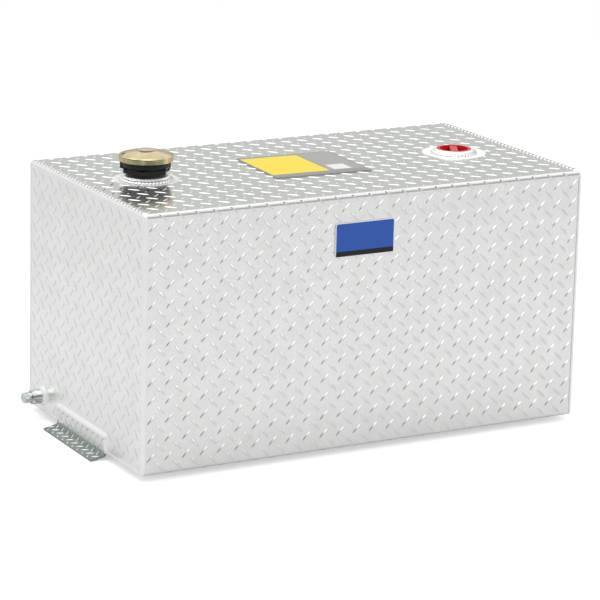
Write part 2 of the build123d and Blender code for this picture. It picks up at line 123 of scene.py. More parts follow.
class NodePen:
    """Writes shader nodes and their links in a few words."""

    def __init__(self, tree: Tree) -> None:
        """Start on a node tree."""
        self.tree = tree

    def link(self, source: Socket, target: Socket) -> None:
        """Link two sockets."""
        self.tree.links.new(source, target)

    def add(self, kind: str, inputs: dict | None = None, **settings: object) -> Node:
        """Add one node.

        Args:
            kind: Blender's type name of the node, without its ShaderNode prefix.
            inputs: Values or sockets for its inputs, by name or number.
            settings: Properties of the node.

        Returns:
            The new node.
        """
        node = self.tree.nodes.new("ShaderNode" + kind)
        for name, value in settings.items():
            setattr(node, name, value)
        for name, value in (inputs or {}).items():
            if isinstance(value, Socket):
                self.link(value, node.inputs[name])
            else:
                node.inputs[name].default_value = value
        return node

    def group(self, group: Tree, inputs: dict) -> Sequence[Socket]:
        """Place a shared node group in this tree and give its outputs."""
        return self.add("Group", inputs, node_tree=group).outputs

    def math(self, operation: str, first: object, second: object = 0.0, clamp: bool = False) -> Socket:
        """Work out one operation on two values."""
        return self.add("Math", {0: first, 1: second}, operation=operation, use_clamp=clamp).outputs[0]

    def times(self, first: object, second: object) -> Socket:
        """Multiply two values."""
        return self.math("MULTIPLY", first, second)

    def blend(self, share: object, first: object, second: object) -> Socket:
        """Mix two values by a share."""
        return self.add("Mix", {0: share, 2: first, 3: second}).outputs[0]

    def mix(self, share: object, first: object, second: object) -> Socket:
        """Mix two colours by a share."""
        return self.add("Mix", {0: share, 6: first, 7: second}, data_type="RGBA").outputs[2]

    def remap(self, value: object, low: float, high: float, start: float = 0.0, end: float = 1.0) -> Socket:
        """Map a value's range onto another, clamped."""
        return self.add("MapRange", {0: value, 1: low, 2: high, 3: start, 4: end}, clamp=True).outputs[0]

    def noise(self, place: Socket, scale: object, detail: float, roughness: float = 0.5) -> Socket:
        """Give a noise from 0 to 1."""
        inputs = {"Vector": place, "Scale": scale, "Detail": detail, "Roughness": roughness}
        return self.add("TexNoise", inputs).outputs[0]

    def mirrored(self, path: Node) -> Socket:
        """Give 1 to rays that a mirror or a clear thing sent on."""
        return self.math("MAXIMUM", path.outputs["Is Glossy Ray"], path.outputs["Is Transmission Ray"])


class Effects:
    """The surface effects that several finishes share, each a node group built once."""

    def __init__(self) -> None:
        """Build the groups."""
        self.grain = self._grain()
        self.turned = self._turned()
        self.field = self._field()
        self.handling = self._handling()

    @staticmethod
    def _group(
        name: str, inputs: Sequence[str], outputs: Sequence[str]
    ) -> tuple[NodePen, Sequence[Socket], Sequence[Socket]]:
        """Start a node group, whose sockets are numbers unless they are called Vector or Centre.

        Args:
            name: The group's name.
            inputs: Names of its inputs.
            outputs: Names of its outputs.

        Returns:
            A pen for the group, its inner sources and its inner targets.
        """
        tree = bpy.data.node_groups.new(name, "ShaderNodeTree")
        for in_out, sockets in (("INPUT", inputs), ("OUTPUT", outputs)):
            for socket in sockets:
                kind = "Vector" if socket in ("Vector", "Centre") else "Float"
                tree.interface.new_socket(socket, in_out=in_out, socket_type="NodeSocket" + kind)
        start = tree.nodes.new("NodeGroupInput")
        end = tree.nodes.new("NodeGroupOutput")
        return NodePen(tree), start.outputs, end.inputs

    def _grain(self) -> Tree:
        """Fine mottling of rolled or cast metal: a value from 0 to 1 and a height."""
        pen, start, end = self._group("metal_grain", ("Vector", "Scale"), ("Value", "Height"))
        fine = pen.noise(start[0], start[1], 3.0, 0.6)
        wide = pen.noise(start[0], pen.times(start[1], 0.06), 2.0)
        fine_part = pen.times(pen.remap(fine, 0.3, 0.7), 0.8)
        wide_part = pen.times(pen.remap(wide, 0.35, 0.65), 0.2)
        pen.link(pen.math("ADD", fine_part, wide_part), end[0])
        pen.link(fine, end[1])
        return pen.tree

    def _turned(self) -> Tree:
        """Fine rings round an upright axis, as a lathe or a disc grinder leaves them."""
        pen, start, end = self._group("turned_rings", ("Vector", "Centre", "Rings"), ("Radius", "Value"))
        offset = pen.add("VectorMath", {0: start[0], 1: start[1]}, operation="SUBTRACT")
        flat = pen.add("VectorMath", {0: offset.outputs[0], 1: (1.0, 1.0, 0.0)}, operation="MULTIPLY")
        radius = pen.add("VectorMath", {0: flat.outputs[0]}, operation="LENGTH").outputs["Value"]
        wobble = pen.times(pen.noise(start[0], 60.0, 2.0), 4.0 * MM)
        count = pen.times(pen.math("ADD", radius, wobble), start[2])
        place = pen.add("CombineXYZ", {0: count}).outputs[0]
        pen.link(radius, end[0])
        pen.link(pen.noise(place, 1.0, 4.0, 0.7), end[1])
        return pen.tree

    def _field(self) -> Tree:
        """A printed rectangle with round corners: 1 inside it and 0 outside."""
        names = ("Across", "Up", "Middle Across", "Middle Up", "Half Width", "Half Height", "Corner")
        pen, start, end = self._group("printed_field", names, ("Mask",))
        squares = []
        for axis in (0, 1):
            away = pen.math("ABSOLUTE", pen.math("SUBTRACT", start[axis], start[axis + 2]))
            straight = pen.math("SUBTRACT", start[axis + 4], start[6])
            past = pen.math("MAXIMUM", pen.math("SUBTRACT", away, straight), 0.0)
            squares.append(pen.times(past, past))
        past = pen.math("SQRT", pen.math("ADD", *squares))
        pen.link(pen.math("LESS_THAN", past, start[6]), end[0])
        return pen.tree

    def _handling(self) -> Tree:
        """Faint scuffs and smears from handling: a value that is mostly 0."""
        pen, start, end = self._group("handling_marks", ("Vector", "Scale"), ("Value",))
        stretched = pen.add("Mapping", {0: start[0], 2: (0.3, -0.5, 0.7), 3: (1.0, 0.15, 1.0)})
        streaks = pen.noise(stretched.outputs[0], start[1], 6.0, 0.65)
        wide = pen.noise(start[0], 5.0, 2.0)
        pen.link(pen.times(pen.remap(streaks, 0.56, 0.72), pen.remap(wide, 0.45, 0.65)), end[0])
        return pen.tree


@dataclass(frozen=True)
class Finish:
    """The values of one surface finish."""

    name: str
    colour: Colour
    second_colour: Colour
    metallic: float = 0.0
    roughness: tuple[float, float] = (0.4, 0.5)
    grain_scale: float = 400.0
    bump: float = 0.1
    marks: float = 0.0
    mark_colour: Colour = (0.5, 0.5, 0.5)
    specular: float = 0.5


@dataclass(frozen=True)
class PrintedBox:
    """One printed rectangle, in millimetres from the middle of its plate."""

    colour: Colour
    across: float
    up: float
    half_width: float
    half_height: float
    corner: float = 0.5

    @property
    def lengths(self) -> tuple[float, ...]:
        """Give the lengths in metres, in the order of the group's inputs."""
        lengths = (self.across, self.up, self.half_width, self.half_height, self.corner)
        return tuple(length * MM for length in lengths)


class Draft:
    """A material in the making: its finish, its nodes and the Object coordinates."""

    bump_distance = 0.2 * MM
    mark_scale = 90.0

    def __init__(self, finish: Finish, effects: Effects) -> None:
        """Start the material.

        Args:
            finish: The finish that it follows.
            effects: The shared node groups.
        """
        self.finish = finish
        self.effects = effects
        self.material = bpy.data.materials.new(finish.name)
        self.material.use_nodes = True
        self.pen = NodePen(self.material.node_tree)
        self.shader = self.material.node_tree.nodes["Principled BSDF"]
        self.place = self.pen.add("TexCoord").outputs["Object"]

    def grain(self) -> Sequence[Socket]:
        """Give the grain's value and height."""
        return self.pen.group(self.effects.grain, {"Vector": self.place, "Scale": self.finish.grain_scale})

    def marks(self) -> Socket:
        """Give the share of the handling marks."""
        marks = self.pen.group(self.effects.handling, {"Vector": self.place, "Scale": self.mark_scale})
        return self.pen.times(marks[0], self.finish.marks)

    def rings(self, centre: Vector, count: float) -> Sequence[Socket]:
        """Give the radius from an upright axis and the turned rings round it."""
        return self.pen.group(self.effects.turned, {"Vector": self.place, "Centre": centre, "Rings": count})

    def axis(self, index: int) -> Socket:
        """Give one of the coordinates."""
        return self.pen.add("SeparateXYZ", {0: self.place}).outputs[index]

    def colours(self, share: Socket) -> Socket:
        """Mix the finish's two colours by a share."""
        return self.pen.mix(share, rgba(self.finish.colour), rgba(self.finish.second_colour))

    def rough(self, share: Socket, low: float = 0.0, high: float = 1.0) -> Socket:
        """Map a share onto the finish's roughness."""
        return self.pen.remap(share, low, high, *self.finish.roughness)

    def wire(self, colour: Socket, rough: Socket, height: Socket) -> Material:
        """Wire the shader and set its plain values.

        Args:
            colour: Socket for the base colour.
            rough: Socket for the roughness.
            height: Socket for the bump.

        Returns:
            The finished material.
        """
        bump_inputs = {"Strength": self.finish.bump, "Distance": self.bump_distance, "Height": height}
        bump = self.pen.add("Bump", bump_inputs)
        self.pen.link(colour, self.shader.inputs["Base Color"])
        self.pen.link(rough, self.shader.inputs["Roughness"])
        self.pen.link(bump.outputs[0], self.shader.inputs["Normal"])
        self.shader.inputs["Metallic"].default_value = self.finish.metallic
        self.shader.inputs["Specular IOR Level"].default_value = self.finish.specular
        return self.material


class Shop:
    """Every material of the tank, made once and looked up by name."""

    PLAIN = (
        Finish("end_plate", (0.99, 0.99, 0.985), (0.83, 0.83, 0.825), 0.80, (0.26, 0.40), 420.0, 0.6, 0.25,
               (0.66, 0.67, 0.67)),
        Finish("weld_metal", (1.0, 1.0, 1.0), (0.93, 0.93, 0.93), 0.15, (0.36, 0.5), 700.0, 0.25, 0.2,
               (0.7, 0.7, 0.69)),
        Finish("mill_sheet", (0.78, 0.79, 0.79), (0.70, 0.71, 0.71), 1.0, (0.35, 0.5), 200.0, 0.2),
        Finish("neck_plastic", (0.008, 0.009, 0.010), (0.016, 0.018, 0.018), 0.0, (0.34, 0.5), 900.0, 0.2,
               specular=0.3),
        Finish("insert_plastic", (0.016, 0.016, 0.018), (0.026, 0.026, 0.028), 0.0, (0.4, 0.55), 700.0, 0.2),
        Finish("seal_rubber", (0.02, 0.02, 0.02), (0.035, 0.035, 0.034), 0.0, (0.6, 0.8), 800.0, 0.3),
        Finish("spring_wire", (0.62, 0.62, 0.62), (0.5, 0.5, 0.5), 1.0, (0.25, 0.4), 900.0, 0.1),
        Finish("red_plastic", (0.66, 0.022, 0.020), (0.56, 0.014, 0.015), 0.0, (0.26, 0.38), 800.0, 0.15,
               specular=0.35),
        Finish("zinc_steel", (0.90, 0.92, 0.90), (0.34, 0.39, 0.36), 1.0, (0.12, 0.24), 130.0, 0.8, 0.9,
               (0.14, 0.18, 0.16)),
    )
    # The second colours darken the hollows of lugs and weld ripples: painted shade, with some dirt on the
    # lugs.
    WORN_AND_SHADED = (
        Finish("tread_lug", (0.93, 0.93, 0.93), (0.42, 0.43, 0.42), 1.0, (0.10, 0.22), 500.0, 0.12),
        Finish("end_lug", (0.95, 0.95, 0.945), (0.34, 0.35, 0.34), 0.6, (0.40, 0.50), 500.0, 0.12),
        Finish("bracket_lug", (0.92, 0.93, 0.92), (0.40, 0.42, 0.41), 0.7, (0.34, 0.46), 500.0, 0.12),
        # Nearly black second colour: painted shade in the weld ripples' troughs.
        Finish("weld_bead", (0.98, 0.98, 0.97), (0.10, 0.105, 0.10), 0.75, (0.3, 0.5), 700.0, 0.25),
    )
    ZINC_STOPS = (
        (0.30, (0.34, 0.37, 0.20)),
        (0.42, (0.60, 0.53, 0.28)),
        (0.52, (0.68, 0.48, 0.34)),
        (0.62, (0.72, 0.60, 0.38)),
        (0.72, (0.44, 0.43, 0.27)),
    )
    MEMBERS = {
        "tread_plate": ("tank_wrapper",),
        "end_plate": ("end_panel_left", "end_panel_right"),
        "bracket_plate": ("bracket_left", "bracket_right"),
        "weld_metal": (
            "end_weld_left", "end_weld_right", "seam_weld", "fill_bung_weld", "pump_bung_weld",
            "bracket_weld_left", "bracket_weld_right", "drain_coupling_weld",
        ),
        "mill_sheet": ("baffle_left", "baffle_right"),
        "turned_aluminium": ("fill_bung", "pump_bung"),
        "zinc_steel": ("drain_plug", "drain_coupling"),
        "neck_plastic": ("filler_neck",),
        "yellow_zinc": ("cap_shell",),
        "insert_plastic": ("cap_insert", "vent_poppet"),
        "seal_rubber": ("cap_gasket",),
        "spring_wire": ("vent_spring",),
        "red_plastic": ("pump_port_plug",),
        "placard_print": ("placard",),
        "badge_print": ("badge",),
    }

    def __init__(self, effects: Effects, faces: TankFaces) -> None:
        """Build the materials.

        Args:
            effects: The shared node groups.
            faces: Places of the tank's faces.
        """
        self.effects = effects
        self.faces = faces
        self.materials = {finish.name: self._plain(finish) for finish in self.PLAIN}
        self.materials.update((finish.name, self._worn_and_shaded(finish)) for finish in self.WORN_AND_SHADED)
        self.materials["tread_plate"] = self._tread_plate()
        self.materials["bracket_plate"] = self._bracket_plate()
        self.materials["turned_aluminium"] = self._turned_aluminium()
        self.materials["yellow_zinc"] = self._yellow_zinc()
        self.materials["placard_print"] = self._placard()
        self.materials["badge_print"] = self._badge()

    def __getitem__(self, name: str) -> Material:
        """Give a material by name."""
        return self.materials[name]

    def _plain(self, finish: Finish) -> Material:
        """Give a surface grain and handling marks.

        Args:
            finish: The finish's values.

        Returns:
            The finished material.
        """
        draft = Draft(finish, self.effects)
        pen = draft.pen
        value, height = draft.grain()
        colour, rough = draft.colours(value), draft.rough(value)
        if finish.marks > 0.0:
            share = draft.marks()
            colour = pen.mix(share, colour, rgba(finish.mark_colour))
            rough = pen.math("ADD", rough, pen.times(share, 0.2), clamp=True)
        return draft.wire(colour, rough, height)

    def _tread_plate(self) -> Material:
        """Bright rolled plate, ground pale and dull in a disc round each bung.

        Returns:
            The finished material.
        """
        finish = Finish("tread_plate", (0.95, 0.955, 0.945), (0.79, 0.795, 0.785), 0.9, (0.09, 0.18), 420.0,
                        0.45, 0.25, (0.68, 0.69, 0.69))
        draft = Draft(finish, self.effects)
        pen = draft.pen
        value, height = draft.grain()
        colour = pen.mix(draft.marks(), draft.colours(value), rgba(finish.mark_colour))
        rough = draft.rough(value)
        high = pen.math("GREATER_THAN", draft.axis(2), self.faces.top - 1.0 * MM)
        metallic: object = finish.metallic
        disc_edge, disc_roughness, disc_dulling = (59.0 * MM, 63.0 * MM), 0.62, 0.6
        for centre in (self.faces.fill, self.faces.pump):
            radius, rings = draft.rings(centre, 900.0)
            disc = pen.times(pen.remap(radius, *disc_edge, 1.0, 0.0), high)
            pale = pen.mix(rings, rgba((0.97, 0.97, 0.97)), rgba((0.88, 0.88, 0.88)))
            colour = pen.mix(disc, colour, pale)
            rough = pen.blend(disc, rough, disc_roughness)
            height = pen.blend(disc, height, rings)
            metallic = pen.math("SUBTRACT", metallic, pen.times(disc, disc_dulling))
        pen.link(metallic, draft.shader.inputs["Metallic"])
        return draft.wire(colour, rough, height)

    def _bracket_plate(self) -> Material:
        """Plate of the brackets: the leg as bright as the tank's end, the foot darker and grey-green.

        Returns:
            The finished material.
        """
        finish = Finish("bracket_plate", (0.96, 0.96, 0.955), (0.80, 0.81, 0.80), 0.9, (0.24, 0.38), 380.0,
                        0.3, 0.4, (0.30, 0.33, 0.31))
        draft = Draft(finish, self.effects)
        pen = draft.pen
        value, height = draft.grain()
        leg = pen.remap(draft.axis(2), self.faces.bottom - 1.0 * MM, self.faces.bottom + 5.0 * MM)
        # The foot's plate below the leg takes a darker grey-green colour.
        dark_foot = pen.mix(value, rgba((0.34, 0.38, 0.36)), rgba((0.22, 0.26, 0.24)))
        dark_foot = pen.mix(draft.marks(), dark_foot, rgba(finish.mark_colour))
        return draft.wire(pen.mix(leg, dark_foot, draft.colours(value)), draft.rough(value), height)

    def _worn_and_shaded(self, finish: Finish) -> Material:
        """Raised metal that is bright and smooth on its crest and darker and rougher in its hollows, by the
        "rise" attribute; the darker hollows are painted shade, with some dirt on the lugs.

        Args:
            finish: Colours and roughness, the crest's first and then the hollows' painted shade.

        Returns:
            The finished material.
        """
        draft = Draft(finish, self.effects)
        pen = draft.pen
        rise = pen.add("Attribute", attribute_name="rise").outputs["Fac"]
        # Painted shade: the lower a point lies on the lug or bead, the more it takes the darker colour.
        shaded_hollow = pen.remap(rise, 0.0, 1.0, 1.0, 0.0)
        return draft.wire(draft.colours(shaded_hollow), draft.rough(shaded_hollow), draft.grain()[1])

    def _turned_aluminium(self) -> Material:
        """Satin turned metal of the bungs, with fine rings round the nearer bung's axis.

        Returns:
            The finished material.
        """
        pale, grey = (0.96, 0.96, 0.96), (0.86, 0.87, 0.87)
        finish = Finish("turned_aluminium", pale, grey, 0.8, (0.36, 0.5), bump=0.2)
        draft = Draft(finish, self.effects)
        pen = draft.pen
        side = pen.math("GREATER_THAN", draft.axis(0), (self.faces.fill.x + self.faces.pump.x) / 2)
        rings = [draft.rings(centre, 1400.0)[1] for centre in (self.faces.fill, self.faces.pump)]
        value = pen.blend(side, *rings)
        return draft.wire(draft.colours(pen.remap(value, 0.3, 0.7)), draft.rough(value, 0.3, 0.7), value)

    def _yellow_zinc(self) -> Material:
        """Yellow zinc plating, which drifts between gold, olive and pink, with a bare pressed disc.

        Returns:
            The finished material.
        """
        bare = (0.90, 0.78, 0.70)
        finish = Finish("yellow_zinc", bare, bare, 1.0, (0.18, 0.30), 500.0, 0.15)
        draft = Draft(finish, self.effects)
        pen = draft.pen
        value, height = draft.grain()
        drift = pen.add("TexNoise", {"Vector": draft.place, "Scale": 26.0, "Detail": 2.0, "Distortion": 0.6})
        ramp = pen.add("ValToRGB", {0: drift.outputs[0]})
        elements = ramp.color_ramp.elements
        while len(elements) < len(self.ZINC_STOPS):
            elements.new(0.5)
        for element, (position, colour) in zip(elements, self.ZINC_STOPS):
            element.position = position
            element.color = rgba(colour)
        radius = draft.rings(self.faces.fill, 300.0)[0]
        disc = pen.times(pen.remap(radius, 15.5 * MM, 17.5 * MM, 1.0, 0.0), 0.75)
        colour = pen.mix(disc, ramp.outputs[0], rgba(bare))
        return draft.wire(colour, draft.rough(value), height)

    def _printed(
        self, node: str, finish: Finish, turn: float, up_axis: int, boxes: Sequence[PrintedBox]
    ) -> Material:
        """Print rectangles over the ground colour of a plate.

        Args:
            node: The plate's node.
            finish: The finish, with the ground's colour.
            turn: How far the print is turned back about the upright axis, in degrees.
            up_axis: Number of the axis that runs up the print.
            boxes: The rectangles, the lowest first.

        Returns:
            The finished material.
        """
        draft = Draft(finish, self.effects)
        pen = draft.pen
        moved = pen.add("VectorMath", {0: draft.place, 1: middle_of(node)}, operation="SUBTRACT")
        inputs = {"Vector": moved.outputs[0], "Angle": math.radians(turn)}
        local = pen.add("VectorRotate", inputs, rotation_type="Z_AXIS")
        axes = pen.add("SeparateXYZ", {0: local.outputs[0]}).outputs
        colour: object = rgba(finish.colour)
        for box in boxes:
            sockets = dict(enumerate((axes[0], axes[up_axis], *box.lengths)))
            colour = pen.mix(pen.group(self.effects.field, sockets)[0], colour, rgba(box.colour))
        value, height = draft.grain()
        return draft.wire(colour, draft.rough(value), height)

    def _placard(self) -> Material:
        """Sheet with a blank yellow field and a small white box on grey."""
        grey = (0.28, 0.28, 0.275)
        finish = Finish("placard_print", grey, grey, 0.0, (0.36, 0.5), 300.0, 0.1, specular=0.35)
        boxes = (
            PrintedBox((0.36, 0.36, 0.35), 60.0, 10.0, 35.0, 74.0),
            PrintedBox((0.90, 0.70, 0.03), -37.0, 6.0, 59.0, 72.0),
            PrintedBox((0.80, 0.80, 0.78), 53.0, -41.0, 18.5, 20.0),
        )
        return self._printed("placard", finish, 2.3, 1, boxes)

    def _badge(self) -> Material:
        """Blue plate with a white border and a black band along its lower edge."""
        white = (0.80, 0.81, 0.83)
        finish = Finish("badge_print", white, white, 0.0, (0.22, 0.32), 300.0, 0.05, specular=0.3)
        low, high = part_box("badge")
        border, band, corner = 1.5, 9.5, 5.0
        width = (high.x - low.x) / 2 / MM - border
        height = (high.z - low.z) / 2 / MM - border
        boxes = (
            PrintedBox((0.026, 0.105, 0.46), 0.0, 0.0, width, height, corner - border),
            PrintedBox((0.012, 0.010, 0.014), 0.0, band / 2 - height, width, band / 2),
        )
        return self._printed("badge", finish, 0.0, 2, boxes)

    def dress_nodes(self, nodes: dict[str, Object]) -> None:
        """Give each node of the frame its material.

        Args:
            nodes: The frame's objects by name.
        """
        for name, members in self.MEMBERS.items():
            for member in members:
                mesh = nodes[member].data
                mesh.materials.clear()
                mesh.materials.append(self.materials[name])
            LOG.info("material %s on %s", name, ", ".join(members))


def new_object(bm: BMesh, name: str, material: Material) -> Object:
    """Turn a bmesh into an object of the scene.

    Args:
        bm: The shape, which is freed.
        name: The object's name.
        material: Its material.

    Returns:
        The new object.
    """
    mesh = bpy.data.meshes.new(name)
    bm.to_mesh(mesh)
    bm.free()
    mesh.materials.append(material)
    made = bpy.data.objects.new(name, mesh)
    bpy.context.scene.collection.objects.link(made)
    return made


def add_piece(bm: BMesh, name: str, material: Material, body: str) -> Object:
    """Turn a bmesh into a finished piece of the tank.

    Args:
        bm: The shape, which is freed.
        name: The piece's name.
        material: Its material.
        body: The body that it rides on.

    Returns:
        The new object.
    """
    piece = new_object(bm, name, material)
    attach(piece, body)
    LOG.info("piece %s: %d faces", name, len(piece.data.polygons))
    return piece


def close_rim(bm: BMesh) -> None:
    """Fill every open rim of a shape."""
    rim = [edge for edge in bm.edges if edge.is_boundary]
    if rim:
        bmesh.ops.holes_fill(bm, edges=rim, sides=0)


def face_outwards(bm: BMesh) -> None:
    """Turn the faces of each closed shape outwards, by the sign of its volume."""
    bmesh.ops.recalc_face_normals(bm, faces=bm.faces)
    bm.normal_update()
    left = set(bm.faces)
    while left:
        shape = [left.pop()]
        for face in shape:
            for other in (near for edge in face.edges for near in edge.link_faces if near in left):
                left.discard(other)
                shape.append(other)
        origin = shape[0].verts[0].co.copy()
        cones = ((face.calc_center_median() - origin).dot(face.normal) * face.calc_area() for face in shape)
        volume = sum(cones)
        if volume < 0.0:
            bmesh.ops.reverse_faces(bm, faces=shape)


class Slant(Enum):
    """The two ways that a lug lies on the plate, as its angle from the length."""

    RISING = 45.0
    FALLING = -45.0


@dataclass(frozen=True)
class Lug:
    """One raised lens-shaped lug of the tread plate, in metres."""

    length: float = 25.5 * MM
    width: float = 4.5 * MM
    height: float = 1.2 * MM
    sink: float = 0.2 * MM
    crown: float = 0.22
    crown_level: float = 0.96
    # Share of the lug's height from which it takes its full crest colour; lower down it darkens as painted
    # shade.
    crest_from: float = 0.7
    bluntness: float = 0.75
    steps: int = 8

    def mesh(self) -> bpy.types.Mesh:
        """Shape the lug lying along X.

        Returns:
            A closed mesh with its foot just under the plate's surface.
        """
        bm = bmesh.new()
        bmesh.ops.create_grid(bm, x_segments=self.steps, y_segments=4, size=1.0)
        rise = bm.verts.layers.float.new("rise")
        section = ((0.0, 1.0), (self.crown, self.crown_level), (1.0, 0.0))
        ridge = set()
        for vert in bm.verts:
            along, across = vert.co.x, vert.co.y
            row = round(abs(across) * 2)
            side, level = section[row]
            taper = (1.0 - along * along) ** self.bluntness
            width = math.copysign(side, across) * self.width / 2 * taper
            over = level * (self.height + self.sink) * taper - self.sink
            vert.co = Vector((along * self.length / 2, width, over))
            # The rise steers the painted shade toward the lug's foot.
            vert[rise] = min(max(over, 0.0) / (self.crest_from * self.height), 1.0)
            if row == 1:
                ridge.add(vert)
        for edge in bm.edges:
            edge.smooth = not (edge.is_boundary or ridge.issuperset(edge.verts))
        bmesh.ops.remove_doubles(bm, verts=bm.verts, dist=MERGE)
        foot = [edge for edge in bm.edges if edge.is_boundary]
        for face in bm.faces:
            face.smooth = True
        bmesh.ops.contextual_create(bm, geom=foot)
        bmesh.ops.recalc_face_normals(bm, faces=bm.faces)
        mesh = bpy.data.meshes.new("lug")
        bm.to_mesh(mesh)
        bm.free()
        return mesh


@dataclass(frozen=True)
class LugPlace:
    """Where one lug lies on a developed sheet, in metres."""

    across: float
    up: float
    slant: Slant


def staggered(rows: range, columns: range, first: Pair, step: Pair) -> Iterator[LugPlace]:
    """Give places in rows that slant one way and, half a pitch on, the other way.

    Args:
        rows: Numbers of the rows.
        columns: Numbers of the columns.
        first: Distance across and up of row 0 and column 0.
        step: Half of the pitch across and up.

    Yields:
        The places, row by row.
    """
    for row in rows:
        slant = Slant.RISING if row % 2 == 0 else Slant.FALLING
        for column in columns:
            if row % 2 == column % 2:
                yield LugPlace(first[0] + column * step[0], first[1] + row * step[1], slant)


class LugSheet:
    """Lays lugs on a flat sheet and bends the sheet onto the tank."""

    def __init__(self, lug: Lug) -> None:
        """Keep one lug to repeat."""
        self.lug_mesh = lug.mesh()

    def lay(self, places: Sequence[LugPlace]) -> BMesh:
        """Repeat the lug at each place.

        Args:
            places: The lugs' places.

        Returns:
            A bmesh of all the lugs, still flat.
        """
        bm = bmesh.new()
        for place in places:
            turn = Matrix.Rotation(math.radians(place.slant.value), 4, "Z")
            matrix = Matrix.Translation((place.across, place.up, 0.0)) @ turn
            self.lug_mesh.transform(matrix)
            bm.from_mesh(self.lug_mesh)
            self.lug_mesh.transform(matrix.inverted())
        return bm

    @staticmethod
    def trim(bm: BMesh, axis: int, low: float, high: float) -> None:
        """Cut away what lies past two lines on the flat sheet and close the cuts.

        Args:
            bm: The flat lugs.
            axis: Number of the axis that the lines cross.
            low: Where the sheet begins on that axis.
            high: Where it ends.
        """
        for place, outward in ((low, -1.0), (high, 1.0)):
            point, normal = Vector(), Vector()
            point[axis], normal[axis] = place, outward
            geometry = bm.verts[:] + bm.edges[:] + bm.faces[:]
            bmesh.ops.bisect_plane(
                bm, geom=geometry, dist=TOUCH, plane_co=point, plane_no=normal, clear_outer=True
            )
            close_rim(bm)

    @staticmethod
    def bend(bm: BMesh, onto: Callable[[float, float, float], Vector]) -> None:
        """Carry each point of the flat sheet onto the tank.

        Args:
            bm: The flat lugs.
            onto: Gives the place for a distance across, a distance up and a height over the sheet.
        """
        for vert in bm.verts:
            vert.co = onto(vert.co.x, vert.co.y, vert.co.z)
        face_outwards(bm)


